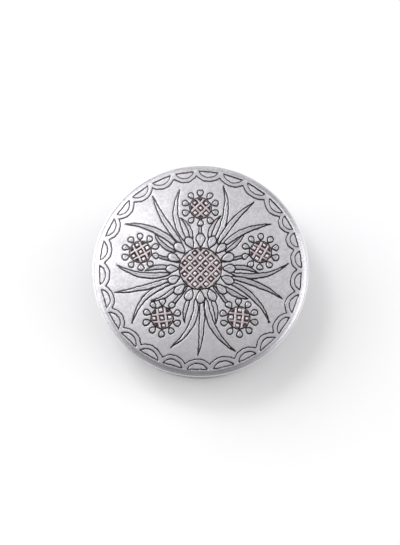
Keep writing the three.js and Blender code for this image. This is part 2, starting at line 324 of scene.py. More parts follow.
# Stretches of the room: direction, full within so many degrees, gone past so many, and how much is added
LOBES = (
    ((0.36, 0.3, 1), 3, 22, 0.49),
    ((0.25, 0.12, 1), 2, 13, 0.53),
    ((0.25, 0.32, 1), 2, 13, 1.1),
    ((-0.8, 0.2, 0.6), 8, 32, 0.95),
    ((-0.57, 0.52, 0.65), 14, 37, 1.55),
    ((0, 0.94, 0.33), 8, 32, 0.25),
    ((0.6, 0.17, 0.78), 6, 26, 1.25),
    ((0.77, -0.6, 0.52), 6, 28, 0.6),
    ((-0.65, -0.65, 0.4), 5, 28, 0.3),
    ((0, 1, 0.08), 10, 45, 0.5),
    ((1, 0, 0.08), 10, 45, 2.4),
    ((0, -1, 0.08), 10, 45, 0.15),
    ((-1, 0, 0.08), 10, 45, 1.6),
)
# Softboxes: name, place, width, height, watts, and whether the metal mirrors them
LIGHTS = (
    ("window_softbox", (-190, 190, 600), 160, 160, 0.75, True),
    ("ceiling_softbox", (150, -150, 1500), 1600, 1600, 3, False),
)


def extents(node):
    """A node's outer radius, underside and top, in millimetres."""
    low, high = np.array(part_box(node)) / MM
    return high[0], low[2], high[2]


LID_RADIUS, LIP_UNDERSIDE, LID_TOP = extents("lid_plate")
RING_RADIUS, _, PLATE_UNDERSIDE = extents("locating_ring")
LIP_TOP = LIP_UNDERSIDE + LIP_THICKNESS
TOP_RADIUS = LID_RADIUS - LIP_WIDTH - SHOULDER_WIDTH
CHORD_RADIUS = TOP_RADIUS - LUNETTE_INSET
FIELD_RADIUS = CHORD_RADIUS - LUNETTE_DEPTH - SCALLOP_BAND
CUSP_RADIUS = FIELD_RADIUS + SCALLOP_RISE
PITCH = TURN / len(DRIFT_SHARES)
SECTOR = TURN / len(FLOWER_DRIFT_SHARES)
LEAF_ROOT_RADIUS = MIDDLE_FLOWER["disc"] + PETAL_GAP + MIDDLE_FLOWER["length"] - LEAF_TUCK


# Outlines of the ornament, in the lid's plane. A bearing runs clockwise from +Y, seen from above.

def at_bearing(radius, bearing):
    return np.stack([radius * np.sin(bearing), radius * np.cos(bearing)], axis=-1)


def norms(vectors):
    return np.linalg.norm(vectors, axis=1)


def closed_line(points):
    return np.concatenate([points, points[:1]])


def leftward(ways):
    return np.stack([-ways[..., 1], ways[..., 0]], axis=-1)


def rotated(points, angle):
    x, y = points.T
    level, steep = math.cos(angle), math.sin(angle)
    return np.column_stack([x * level - y * steep, x * steep + y * level])


def swell(powers, width, place):
    """Half the width of an outline, at places from 0 at its root to 1 at its tip."""
    along, across = powers
    return width / 2 * np.maximum(0, np.sin(math.pi * place ** along)) ** across


def flanked(spine, side, half):
    """A closed outline from a spine, the unit vectors to its left, and the half widths."""
    left = spine + side * half[:, None]
    right = spine - side * half[:, None]
    return np.concatenate([left[:-1], right[:0:-1]])


def blade(root, tip, bend, width):
    """The outline and the spine of a pointed leaf."""
    along = tip - root
    side = leftward(along) / np.linalg.norm(along)
    middle = (root + tip) / 2 + 2 * bend * side
    place = np.linspace(0, 1, LEAF_STEPS + 1)[:, None]
    spine = (1 - place) ** 2 * root + 2 * place * (1 - place) * middle + place ** 2 * tip
    tangent = (1 - place) * (middle - root) + place * (tip - middle)
    tangent /= np.linalg.norm(tangent, axis=1, keepdims=True)
    return flanked(spine, leftward(tangent), swell(LEAF_POWERS, width, place[:, 0])), spine


def petal(centre, bearing, start, length, width):
    """The outline and the spine of a rounded petal."""
    out = at_bearing(1, bearing)
    place = np.linspace(0, 1, PETAL_STEPS + 1)
    spine = centre + (start + length * place)[:, None] * out
    return flanked(spine, leftward(out), swell(PETAL_POWERS, width, place)), spine


def round_line(radius, steps):
    return at_bearing(radius, np.linspace(0, TURN, steps, endpoint=False))


def circle(centre, radius):
    return centre + round_line(radius, DISC_STEPS)


def lunette_arcs():
    """Bearings of the lunettes, and of the cusps before and after each."""
    index = np.arange(len(DRIFT_SHARES))
    bearing = BORDER_START + (index + np.array(DRIFT_SHARES)) * PITCH
    before = (bearing + np.roll(bearing, 1) - TURN * (index == 0)) / 2
    after = (bearing + np.roll(bearing, -1) + TURN * (index == index[-1])) / 2
    return bearing, before, after


def inward_arcs(start, end, radius, tip_radius):
    """Centres and radii of the circles that bulge inwards between pairs of bearings."""
    middle = (start + end) / 2
    half = (end - start) / 2
    half_chord = radius * np.sin(half)
    rise = radius * np.cos(half) - tip_radius
    arc_radius = (half_chord ** 2 + rise ** 2) / (2 * rise)
    return at_bearing(tip_radius + arc_radius, middle), arc_radius


LUNETTE, CUSP_BEFORE, CUSP_AFTER = lunette_arcs()
LUNETTE_START = LUNETTE + LUNETTE_SPAN_SHARE * (CUSP_BEFORE - LUNETTE)
LUNETTE_END = LUNETTE + LUNETTE_SPAN_SHARE * (CUSP_AFTER - LUNETTE)
SCALLOP_CENTRES, SCALLOP_RADII = inward_arcs(CUSP_BEFORE, CUSP_AFTER, CUSP_RADIUS, FIELD_RADIUS)
LUNETTE_TIP = CHORD_RADIUS - LUNETTE_DEPTH
LUNETTE_CENTRES, LUNETTE_RADII = inward_arcs(LUNETTE_START, LUNETTE_END, CHORD_RADIUS, LUNETTE_TIP)
LUNETTE_OUT = at_bearing(1, (LUNETTE_START + LUNETTE_END) / 2)
LUNETTE_CHORD = CHORD_RADIUS * np.cos((LUNETTE_END - LUNETTE_START) / 2)


# The ornament as layers, the lowest first. A layer is (outline, spine, level below the top).

def freehand(share):
    """A small random share, either way."""
    return dice.uniform(-share, share)


def leaf_layers():
    layers = []
    for i in range(len(FLOWER_DRIFT_SHARES)):
        bearing = (i + 1 / 2) * SECTOR
        for root_share, tip_share, reach, bend, width in LEAF_SHARES:
            root = at_bearing(LEAF_ROOT_RADIUS, bearing + root_share * SECTOR)
            tip_bearing = bearing + (tip_share + freehand(LEAF_DRIFT_SHARE)) * SECTOR
            tip = at_bearing((reach + freehand(LEAF_DRIFT_SHARE)) * FIELD_RADIUS, tip_bearing)
            bulge = bend * (1 + freehand(BEND_DRIFT_SHARE)) * np.linalg.norm(tip - root)
            level = BACK_LEAF_DEPTH if abs(root_share) > abs(tip_share) else 0
            broad = width * (1 + freehand(WIDTH_DRIFT_SHARE)) * LEAF_WIDTH
            layers.append((*blade(root, tip, bulge, broad), level))
    return layers


def flower_layers(centre, facing, disc, petals, length, width):
    layers = []
    for i in range(petals):
        bearing = facing + (i + freehand(LEAF_DRIFT_SHARE)) * TURN / petals
        reach = length * (1 + freehand(PETAL_DRIFT_SHARE))
        broad = width * (1 + freehand(PETAL_DRIFT_SHARE))
        layers.append((*petal(centre, bearing, disc + PETAL_GAP, reach, broad), 0))
    layers.append((circle(centre, disc), None, 0))
    return layers


def flower_seats():
    """Centre, bearing and measures of each flower, the middle one last."""
    seats = []
    for i, drift in enumerate(FLOWER_DRIFT_SHARES):
        bearing = (i + drift) * SECTOR
        seats.append((at_bearing(FLOWER_RING_SHARE * FIELD_RADIUS, bearing), bearing, OUTER_FLOWER))
    seats.append((np.zeros(2), 0.0, MIDDLE_FLOWER))
    return seats


def stem_layers(seats):
    layers = []
    for i, (centre, _, _) in enumerate(seats[:-1]):
        root = at_bearing(MIDDLE_FLOWER["disc"], i * SECTOR)
        layers.append((*blade(root, centre, 0, STEM_WIDTH), BACK_LEAF_DEPTH))
    return layers


SEATS = flower_seats()
LAYERS = stem_layers(SEATS) + leaf_layers()
for seat, facing, flower in SEATS:
    LAYERS += flower_layers(seat, facing, **flower)


# Distances

def distance_to_line(points, line):
    """Distance from each point to an open run of points."""
    start = line[:-1]
    step = line[1:] - start
    offset = points[:, None, :] - start
    place = np.clip((offset * step).sum(axis=2) / (step ** 2).sum(axis=1), 0, 1)
    gap = offset - place[:, :, None] * step
    return np.sqrt((gap ** 2).sum(axis=2).min(axis=1))


def distance_inside(points, outline):
    """Distance from each point to a closed outline, positive inside it."""
    closed = closed_line(outline)
    start, end = closed[:-1], closed[1:]
    x, y = points[:, :1], points[:, 1:]
    spans = (start[:, 1] > y) != (end[:, 1] > y)
    rise = np.where(end[:, 1] == start[:, 1], 1, end[:, 1] - start[:, 1])
    crossing = start[:, 0] + (y - start[:, 1]) * (end[:, 0] - start[:, 0]) / rise
    inside = (spans & (x < crossing)).sum(axis=1) % 2
    return np.where(inside, 1, -1) * distance_to_line(points, closed)


def hand(points):
    """How far the unsteady hand moves the ornament at each point."""
    x, y = points.T
    move = np.zeros_like(points)
    for reach, wavelength, phase in HAND_WAVES:
        rate = TURN / wavelength
        move[:, 0] += reach * np.sin(rate * y + phase) * np.cos(rate * x / 2 + phase)
        move[:, 1] += reach * np.sin(rate * x + 2 * phase) * np.cos(rate * y / 2 - phase)
    return move


def steadied(points):
    """Where points lie before the unsteady hand moves them to the given places."""
    start = points
    for _ in range(STEADY_ROUNDS):
        start = points - hand(start)
    return start


def ragged(points):
    """How much wider or narrower the cut lines are at each point."""
    x, y = points.T
    down, over = TURN * (x + y / 2), TURN * (y - x / 3)
    waves = [
        reach * np.sin(down / wavelength + phase) * np.sin(over / wavelength - phase)
        for reach, wavelength, phase in RAGGED_WAVES
    ]
    return sum(waves)


def smooth(value, low, high):
    place = np.clip((value - low) / (high - low), 0, 1)
    return place * place * (3 - 2 * place)


def lattice(points, centre, facing):
    """Places in the rotated lattice of seed cells, and the cell's own row and column."""
    local = rotated(points - centre, facing - math.pi / 4)
    cell = np.round(local / CELL_PITCH)
    return local - cell * CELL_PITCH, cell


def seed_fits(cell, disc):
    """Whether the seed of a lattice cell lies whole inside its disc."""
    half = (CELL_PITCH - CELL_RIB) / 2 * SEED_HALF_SHARE
    return norms(cell * CELL_PITCH) + half * math.sqrt(2) <= disc - DISC_RIM - CELL_SLOPE


def seed_drifts(cell):
    """Two shifts and a change of size for the seed of each lattice cell, between -1 and 1."""
    return np.sin(cell @ np.array(SEED_DRIFT_RATES)).T


class Relief:
    """The ornament's height and finish at each of many points."""

    def __init__(self, points):
        self.points = points + hand(points)
        count = len(points)
        self.level = np.full(count, -FIELD_DEPTH)
        self.line = np.full(count, np.inf)
        self.rib = np.full(count, np.inf)
        self.cell = np.zeros(count)
        self.seed = np.zeros(count)
        self.reach = np.full(count, GROOVE_REACH)
        self.disc = np.zeros(count)
        self.raised = np.zeros(count)
        for layer in LAYERS:
            self.lay(*layer)
        for centre, facing, measures in SEATS:
            self.sink_cells(centre, facing, measures["disc"])
        self.border()

    def cover(self, near, inside, level, rib):
        """Lays a shape over what is there: inside is the distance to its edge, positive inside."""
        step = smooth(inside, -STEP_REACH, STEP_REACH)
        self.level[near] += (level - self.level[near]) * step
        self.raised[near] += (1 - self.raised[near]) * step
        hides = inside > 0
        self.line[near] = np.where(hides, inside, np.minimum(self.line[near], -inside))
        self.rib[near] = np.where(hides, rib, self.rib[near])

    def lay(self, outline, spine, below):
        low, high = outline.min(axis=0) - FLAT_STEP, outline.max(axis=0) + FLAT_STEP
        near = np.flatnonzero(((self.points > low) & (self.points < high)).all(axis=1))
        if not len(near):
            return
        points = self.points[near]
        inside = distance_inside(points, outline)
        crown = CROWN_DEPTH * (1 - smooth(inside, 0, CROWN_REACH))
        rib = np.full(len(near), np.inf)
        if spine is not None:
            rib = distance_to_line(points, spine[len(spine) // RIB_ROOT_PART: -len(spine) // RIB_TIP_PART])
        self.cover(near, inside, -below - crown, rib)

    def sink_cells(self, centre, facing, disc):
        near = np.flatnonzero(norms(self.points - centre) < disc)
        local, cell = lattice(self.points[near], centre, facing)
        half = (CELL_PITCH - CELL_RIB) / 2
        away = np.abs(local).max(axis=1)
        from_rim = disc - DISC_RIM - norms(self.points[near] - centre)
        sunk = smooth(np.minimum(half - away, from_rim), -CELL_SLOPE / 2, CELL_SLOPE)
        self.disc[near] = smooth(from_rim, -DISC_RIM, 0)
        *shift, change = seed_drifts(cell)
        from_seed = np.abs(local - SEED_PLACE_DRIFT_SHARE * half * np.stack(shift, axis=1)).max(axis=1)
        seed_half = half * SEED_HALF_SHARE * (1 + SEED_SIZE_DRIFT_SHARE * change)
        seed = seed_fits(cell, disc) * smooth(seed_half - from_seed, -CELL_SLOPE, CELL_SLOPE / 2)
        self.seed[near] = seed * sunk
        self.level[near] -= CELL_DEPTH * sunk * (1 - SEED_HEIGHT_SHARE * seed)
        self.cell[near] = sunk * (1 - SEED_BARE_SHARE * seed)

    def border(self):
        """Lays the scalloped band over everything, and sinks the lunettes in it."""
        radius = norms(self.points)
        near = np.flatnonzero(radius > FIELD_RADIUS - FLAT_STEP)
        points = self.points[near]
        gap = np.linalg.norm(points[:, None, :] - SCALLOP_CENTRES, axis=2)
        band = np.maximum((SCALLOP_RADII - gap).max(axis=1), radius[near] - CUSP_RADIUS)
        self.cover(near, band, 0, np.full(len(near), np.inf))
        self.reach[near] += (BORDER_GROOVE_REACH - GROOVE_REACH) * smooth(band, -FLAT_STEP, 0)
        gap = np.linalg.norm(points[:, None, :] - LUNETTE_CENTRES, axis=2)
        chord = LUNETTE_CHORD - points @ LUNETTE_OUT.T
        lunette = np.minimum(LUNETTE_RADII - gap, chord).max(axis=1)
        step = smooth(lunette, -STEP_REACH, STEP_REACH)
        self.level[near] += (-FIELD_DEPTH - self.level[near]) * step
        self.raised[near] *= 1 - step
        self.line[near] = np.minimum(self.line[near], np.abs(lunette))

    def groove(self):
        return np.exp(-((self.line / (self.reach + ragged(self.points))) ** 2))

    def rib_line(self):
        return np.exp(-((self.rib / RIB_LINE_REACH) ** 2)) * smooth(self.line, 0, 2 * RIB_LINE_REACH)

    def height(self):
        cut = GROOVE_DEPTH * self.groove() + RIB_LINE_DEPTH * self.rib_line()
        fade = smooth(norms(self.points), TOP_RADIUS, CHORD_RADIUS)
        return (self.level - cut) * fade


# The points of the relief's mesh

def even_steps(line, step):
    """Points at even steps along a run of points, and the unit vectors to its left there."""
    lengths = norms(np.diff(line, axis=0))
    place = np.concatenate([[0], np.cumsum(lengths)])
    count = max(FEWEST_STEPS, round(place[-1] / step))
    at = (np.arange(count) + 1 / 2) * place[-1] / count
    points = np.stack([np.interp(at, place, line[:, k]) for k in range(2)], axis=1)
    index = np.clip(np.searchsorted(place, at) - 1, 0, len(lengths) - 1)
    tangent = np.diff(line, axis=0)[index] / lengths[index][:, None]
    return points, leftward(tangent)


def rows_beside(line, offsets):
    points, side = even_steps(line, LINE_STEP)
    signed = sorted({sign * offset for offset in offsets for sign in (-1, 1)})
    return np.concatenate([points + offset * side for offset in signed])


def border_lines():
    lines = []
    for i in range(len(LUNETTE)):
        bearings = np.linspace(CUSP_BEFORE[i], CUSP_AFTER[i], ARC_STEPS + 1)
        lines.append(arc_line(bearings, SCALLOP_CENTRES[i], SCALLOP_RADII[i]))
        bearings = np.linspace(LUNETTE_START[i], LUNETTE_END[i], ARC_STEPS + 1)
        lines.append(closed_line(arc_line(bearings, LUNETTE_CENTRES[i], LUNETTE_RADII[i])))
    return lines


def arc_line(bearings, centre, radius):
    """Where rays from the lid's middle first meet a circle."""
    way = at_bearing(1, bearings)
    along = way @ centre
    reach = np.maximum(0, along ** 2 - centre @ centre + radius ** 2)
    return way * (along - np.sqrt(reach))[:, None]


def cell_points():
    stations = np.array(CELL_STATION_SHARES) * CELL_PITCH / 2
    grid = np.stack(np.meshgrid(stations, stations), axis=-1).reshape(-1, 2)
    clouds = []
    for centre, facing, measures in SEATS:
        most = math.ceil(measures["disc"] / CELL_PITCH)
        span = np.arange(-most, most + 1)
        cells = np.stack(np.meshgrid(span, span), axis=-1).reshape(-1, 2)
        local = (cells[:, None, :] * CELL_PITCH + grid).reshape(-1, 2)
        local = local[norms(local) < measures["disc"] - DISC_RIM + CELL_SLOPE]
        clouds.append(rotated(local, math.pi / 4 - facing) + centre)
    return np.concatenate(clouds)


def flat_points():
    """A loose triangular grid over the whole top."""
    count = math.ceil(TOP_RADIUS / FLAT_STEP) + 1
    span = np.arange(-count, count + 1)
    column, row = np.meshgrid(span, span)
    x = (column + row % 2 / 2) * FLAT_STEP
    y = row * FLAT_STEP * math.sqrt(3) / 2
    return np.stack([x.ravel(), y.ravel()], axis=1)


def relief_points():
    """Every point inside the top's edge, thick along the lines that show and thin elsewhere."""
    lines = [closed_line(outline) for outline, _, _ in LAYERS] + border_lines()
    rows = steadied(np.concatenate([rows_beside(line, LINE_ROWS) for line in lines]))
    rows = rows[norms(rows) < TOP_RADIUS - RIM_CLEARANCE]
    rows = rows[Relief(rows).line < LINE_ROWS[-1] + CLOSEST_POINTS]
    spines = [spine for _, spine, _ in LAYERS if spine is not None]
    ribs = steadied(np.concatenate([rows_beside(spine, RIB_ROWS) for spine in spines]))
    seen = Relief(ribs)
    ribs = ribs[(seen.rib < RIB_ROWS[-1] + CLOSEST_POINTS) & (seen.line > RIB_LINE_REACH)]
    rims = [closed_line(circle(centre, measures["disc"] - DISC_RIM)) for centre, _, measures in SEATS]
    rims = [rows_beside(rim, RIM_ROWS) for rim in rims]
    cells = steadied(np.concatenate([cell_points(), *rims]))
    flats = flat_points()
    flats = flats[norms(flats) < TOP_RADIUS - RIM_CLEARANCE]
    seen = Relief(flats)
    flats = flats[(seen.line > FLAT_CLEARANCE) & (seen.cell == 0)]
    points = np.concatenate([cells, rows, ribs, flats])
    _, first = np.unique(np.round(points / CLOSEST_POINTS), axis=0, return_index=True)
    return points[np.sort(first)]


# Meshes

def new_mesh(name, vertices, faces):
    mesh = bpy.data.meshes.new(name)
    mesh.from_pydata((vertices * MM).tolist(), [], faces)
    return mesh


def set_values(mesh, name, values):
    """Gives each point of a mesh a value, which a material reads by its name."""
    mesh.attributes.new(name, "FLOAT", "POINT").data.foreach_set("value", values)


def add_object(name, data):
    thing = bpy.data.objects.new(name, data)
    bpy.context.scene.collection.objects.link(thing)
    return thing


def add_piece(name, mesh, node, body, material):
    """Makes a piece that stands for a node and rides on that node's body."""
    mesh.materials.append(material)
    mesh.shade_smooth()
    piece = add_object(name, mesh)
    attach(piece, body)
    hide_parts(node)


def ellipse_arc(centre, semi_radius, semi_height, start, end, steps):
    """Points of an ellipse in a profile, from one angle to another."""
    angle = np.linspace(start, end, steps + 1)
    across = centre[0] + semi_radius * np.cos(angle)
    return np.column_stack([across, centre[1] + semi_height * np.sin(angle)])


def soft_corner(before, corner, after, reach):
    """A rounded corner of a profile, with a point more on each side so that flat faces stay flat."""
    before, corner, after = (np.array(point, dtype=float) for point in (before, corner, after))
    back = (before - corner) / np.linalg.norm(before - corner)
    ahead = (after - corner) / np.linalg.norm(after - corner)
    place = np.linspace(0, 1, FILLET_STEPS + 1)[:, None]
    curve = corner + reach * ((1 - place) ** 2 * back + place ** 2 * ahead)
    support = SUPPORT_SHARE * reach
    return np.concatenate([[corner + support * back], curve, [corner + support * ahead]])


def ring_profile(node, thickness, reaches):
    """A square ring as wide as its node, from its inner top edge outwards and round, with softened edges."""
    outer, bottom, top = extents(node)
    inner = outer - thickness
    square = [(inner, top), (outer, top), (outer, bottom), (inner, bottom)]
    neighbours = zip(square[-1:] + square[:-1], square, square[1:] + square[:1])
    return np.concatenate([soft_corner(*three, reach) for three, reach in zip(neighbours, reaches)])


def turned_grooves(radius, height):
    """Shallow decorative grooves across a flat face, from the edge inwards."""
    half = TURNED_GROOVE_WIDTH / 2
    support = SUPPORT_SHARE * half
    points = []
    for share in sorted(GROOVE_RADII_SHARES, reverse=True):
        middle = share * radius
        curve = ellipse_arc((middle, height), half, TURNED_GROOVE_DEPTH, 0, math.pi, FILLET_STEPS)
        points += [(middle + support, height), *curve, (middle - support, height)]
    return np.array(points)


def ring_of_points(radius, height, segments):
    return np.column_stack([round_line(radius, segments), np.full(segments, height)])


def ring_faces(upper, lower, segments):
    """Faces between two rings, pointing out where the second lies outside or below the first."""
    after = [(k + 1) % segments for k in range(segments)]
    return [(upper + k, upper + after[k], lower + after[k], lower + k) for k in range(segments)]


def edge_wear_and_shade(profile, closed=True):
    """How bright each point of a profile is rubbed, where it bulges out, and how much painted shade it gets,
    where it turns in.
    """
    back, ahead = profile - np.roll(profile, 1, axis=0), np.roll(profile, -1, axis=0) - profile
    cross = back[:, 1] * ahead[:, 0] - back[:, 0] * ahead[:, 1]
    step = (norms(back) + norms(ahead)) / 2
    bend = np.arctan2(cross, (back * ahead).sum(axis=1)) / np.maximum(step, SHORTEST_STEP)
    if not closed:
        bend[[0, -1]] = 0
    return np.clip(bend * WEAR_AND_SHADE_REACH, 0, 1), np.clip(-bend * WEAR_AND_SHADE_REACH, 0, 1)


def spin(name, profile, closed=True, bearings=None, shift=None, grime_and_shade=None):
    """A closed mesh from a profile turned round the box's axis. Open profiles start and end on the axis."""
    if bearings is None:
        bearings = np.linspace(0, TURN, ROUND_SEGMENTS, endpoint=False)
    segments = len(bearings)
    radius = np.repeat(profile[:, :1], segments, axis=1)
    height = np.repeat(profile[:, 1:], segments, axis=1)
    if shift is not None:
        radius, height = shift(radius, height, bearings)
    # Edges rubbed bright, and painted shade in creases unless other painted shade is given
    wear_and_highlight, crease_shade = edge_wear_and_shade(profile, closed)
    rows = slice(None) if closed else slice(1, -1)
    vertices = np.dstack([at_bearing(radius, bearings), height])[rows].reshape(-1, 3)
    values = [np.repeat(value[rows], segments) for value in (wear_and_highlight, crease_shade if grime_and_shade is None else grime_and_shade)]
    ring_count = len(vertices) // segments
    faces = []
    for row in range(ring_count if closed else ring_count - 1):
        faces += ring_faces(row * segments, (row + 1) % ring_count * segments, segments)
    if not closed:
        top, bottom = len(vertices), len(vertices) + 1
        vertices = np.concatenate([vertices, [[0, 0, profile[0, 1]], [0, 0, profile[-1, 1]]]])
        values = [np.concatenate([value, [0, 0]]) for value in values]
        last = (ring_count - 1) * segments
        faces += [(top, (k + 1) % segments, k) for k in range(segments)]
        faces += [(bottom, last + k, last + (k + 1) % segments) for k in range(segments)]
    mesh = new_mesh(name, vertices, faces)
    set_values(mesh, "wear_and_highlight", values[0])
    set_values(mesh, "grime_and_shade", values[1])
    return mesh


def foot_mesh():
    reaches = (BEAD_EDGE_REACH, BEAD_EDGE_REACH, FOOT_EDGE_REACH, FOOT_INNER_EDGE_REACH)
    return spin("turned_foot", ring_profile("foot_ring", FOOT_WIDTH, reaches))


def locating_mesh():
    reaches = (BEAD_EDGE_REACH, BEAD_EDGE_REACH, LOCATING_RING_EDGE_REACH, LOCATING_RING_EDGE_REACH)
    return spin("inner_ring", ring_profile("locating_ring", LOCATING_RING_THICKNESS, reaches))


def base_mesh():
    outer, bottom, top = extents("base_plate")
    profile = np.concatenate([
        [(0, top), (outer / 2, top)],
        soft_corner((0, top), (outer, top), (outer, bottom), BASE_EDGE_REACH),
        soft_corner((outer, top), (outer, bottom), (0, bottom), BASE_EDGE_REACH),
        turned_grooves(outer, bottom),
        [(0, bottom)],
    ])
    return spin("turned_base", profile, closed=False)


def wall_mesh():
    """The rolled wall, with the soldered seam where its two edges meet at the back."""
    outer, bottom, _ = extents("body_wall")
    ring = ring_profile("body_wall", WALL_THICKNESS, [WALL_EDGE_REACH] * 4)
    bead_bottom = extents("mouth_bead")[1]
    rows = np.linspace(bead_bottom - WALL_SHADE_REACH, bottom + WALL_SHADE_REACH, WALL_ROWS)
    outside = [(outer, z) for z in (bead_bottom + WALL_SHADE_REACH, bead_bottom, *rows)]
    split = 2 * CORNER_POINTS
    profile = np.concatenate([ring[:split], outside, ring[split:]])
    # Painted shade on the wall's outside, darkest just under the bead and at the wall's foot
    on_outside = profile[:, 0] > outer - CLOSEST_POINTS
    from_edge = np.minimum(np.abs(profile[:, 1] - bead_bottom), profile[:, 1] - bottom)
    grime_and_shade = on_outside * np.clip(1 - from_edge / WALL_SHADE_REACH, 0, 1)
    reach = SEAM_WIDTH / outer
    near = np.linspace(-reach, reach, 2 * SEAM_STEPS + 1)
    rest = np.linspace(2 * reach, TURN - 2 * reach, ROUND_SEGMENTS)

    def sheet(radius, height, bearings):
        off = (bearings + math.pi) % TURN - math.pi
        seam = SEAM_DEPTH * np.exp(-((2 * off / reach) ** 2))
        swells = [
            depth * (1 + np.sin(count * bearings + phase) * np.sin(TURN * height / tall + phase))
            for depth, count, tall, phase in SHEET_WAVES
        ]
        on_outer = radius > outer - WALL_THICKNESS / 2
        return radius + np.where(on_outer, -seam - sum(swells), seam), height

    return spin("rolled_wall", profile, bearings=np.concatenate([near, rest]), shift=sheet, grime_and_shade=grime_and_shade)


def bead_mesh():
    outer, bottom, top = extents("mouth_bead")
    inner = outer - BEAD_WIDTH
    middle = (inner, (bottom + top) / 2)
    quarter = math.pi / 2
    curve = ellipse_arc(middle, BEAD_WIDTH, (top - bottom) / 2, quarter, -quarter, BEAD_STEPS)
    profile = np.concatenate([
        soft_corner(middle, (inner, top), curve[1], BEAD_EDGE_REACH),
        curve[2:-2],
        soft_corner(curve[-2], (inner, bottom), middle, BEAD_EDGE_REACH),
    ])
    # Painted shade on the bead's upper half, darkest right under the lid's lip
    under_lip = np.clip((profile[:, 1] - middle[1]) / (top - middle[1]), 0, 1)
    return spin("round_bead", profile, grime_and_shade=BEAD_SHADE_SHARE * under_lip)


def solder_mesh(name, node, up):
    """A fillet of solder in a square corner, uneven as it ran: up is 1 on a floor, -1 under a ceiling."""
    corner_radius, bottom, top = extents(node)
    corner_height = bottom if up > 0 else top
    hollow = ellipse_arc((1, 1), 1, 1, -math.pi / 2, -math.pi, SOLDER_STEPS)
    shares = np.concatenate([[(0, 1), (0, 0)], hollow[:-1]])[::up]

    def flow(radius, height, bearings):
        waves = [share * (1 + np.sin(rate * bearings + phase)) for share, rate, phase in SOLDER_RIPPLE_SHARES]
        legs = (top - bottom) * (1 - sum(waves))
        return corner_radius - radius * legs, corner_height + up * height * legs

    return spin(name, shares, shift=flow, grime_and_shade=np.zeros(len(shares)))


def lid_profile():
    """The lid's round part in two halves: over the shoulder and the lip, then on to the middle underneath."""
    foot = (LID_RADIUS - LIP_WIDTH, LIP_TOP)
    high_edge, low_edge = (LID_RADIUS, LIP_TOP), (LID_RADIUS, LIP_UNDERSIDE)
    step_low = (RING_RADIUS + RING_CLEARANCE, LIP_UNDERSIDE)
    step_high = (step_low[0], PLATE_UNDERSIDE)
    drop = LID_TOP - LIP_TOP
    curve = (SHOULDER_WIDTH ** 2 + drop ** 2) / (2 * drop)
    quarter = math.pi / 2
    slope = math.asin(SHOULDER_WIDTH / curve)
    middle = (TOP_RADIUS, LID_TOP - curve)
    shoulder = ellipse_arc(middle, curve, curve, quarter, quarter - slope, SHOULDER_STEPS)
    upper = [
        shoulder[1:-2],
        soft_corner(shoulder[-2], foot, high_edge, SHOULDER_FOOT_REACH)[1:],
        soft_corner(foot, high_edge, low_edge, LIP_EDGE_RADIUS)[1:],
        soft_corner(high_edge, low_edge, step_low, LIP_EDGE_RADIUS)[:-1],
    ]
    under = [
        soft_corner(low_edge, step_low, step_high, STEP_EDGE_REACH)[:-1],
        soft_corner(step_low, step_high, (0, PLATE_UNDERSIDE), BEAD_EDGE_REACH),
        turned_grooves(LID_RADIUS, PLATE_UNDERSIDE),
    ]
    return np.concatenate(upper), np.concatenate(under)


def lid_mesh():
    """The lid casting as one closed mesh: the relief on top, then ring by ring round to the underside."""
    inner = relief_points()
    rim = ring_of_points(TOP_RADIUS, LID_TOP, ROUND_SEGMENTS)
    plane = np.concatenate([inner, rim[:, :2]])
    flat = [Vector(point) for point in plane.tolist()]
    found, _, faces, *_ = delaunay_2d_cdt(flat, [], [], 0, MESH_TOLERANCE)
    assert len(found) == len(flat)
    relief = Relief(plane)
    on_ring = np.arange(len(plane)) >= len(inner)
    height = LID_TOP + np.where(on_ring, 0, relief.height())
    profile = np.concatenate(lid_profile())
    rings = [ring_of_points(radius, z, ROUND_SEGMENTS) for radius, z in profile]
    vertices = np.concatenate([np.column_stack([plane, height]), *rings, [[0, 0, PLATE_UNDERSIDE]]])
    faces = [tuple(face) for face in faces]
    first = len(inner)
    for _ in rings:
        faces += ring_faces(first, first + ROUND_SEGMENTS, ROUND_SEGMENTS)
        first += ROUND_SEGMENTS
    centre = len(vertices) - 1
    faces += [(first + k, first + (k + 1) % ROUND_SEGMENTS, centre) for k in range(ROUND_SEGMENTS)]
    mesh = new_mesh("relief_lid", vertices, faces)
    wear_and_highlight, grime_and_shade = edge_wear_and_shade(profile, closed=False)
    on_lip = profile[:, 0] > LID_RADIUS - LIP_WIDTH - CLOSEST_POINTS
    on_lip &= profile[:, 1] > (LIP_TOP + LIP_UNDERSIDE) / 2
    finish = {
        "groove": (relief.groove(), 0),
        "rib": (relief.rib_line(), 0),
        "cell": (relief.cell, 0),
        "disc": (relief.disc, 0),
        "raised": (relief.raised, 1),
        "turned": (on_ring, 1),
        # Edges and seeds rubbed bright, and a painted highlight along the lip's top
        "wear_and_highlight": (SEED_WEAR_SHARE * relief.seed, np.maximum(wear_and_highlight, LIP_HIGHLIGHT_SHARE * on_lip)),
        # Painted shade in the creases of the lid's profile
        "grime_and_shade": (0, grime_and_shade),
    }
    for name, (relief_values, ring_values) in finish.items():
        whole = np.zeros(len(vertices))
        whole[: len(plane)] = relief_values
        whole[len(plane):-1] = np.repeat(np.broadcast_to(ring_values, len(profile)), ROUND_SEGMENTS)
        whole[-1] = whole[-2]
        set_values(mesh, name, whole)
    lay_out(mesh, vertices, len(inner))
    return mesh


def whole_numbers(items, name):
    values = np.zeros(len(items), dtype=np.int32)
    items.foreach_get(name, values)
    return values


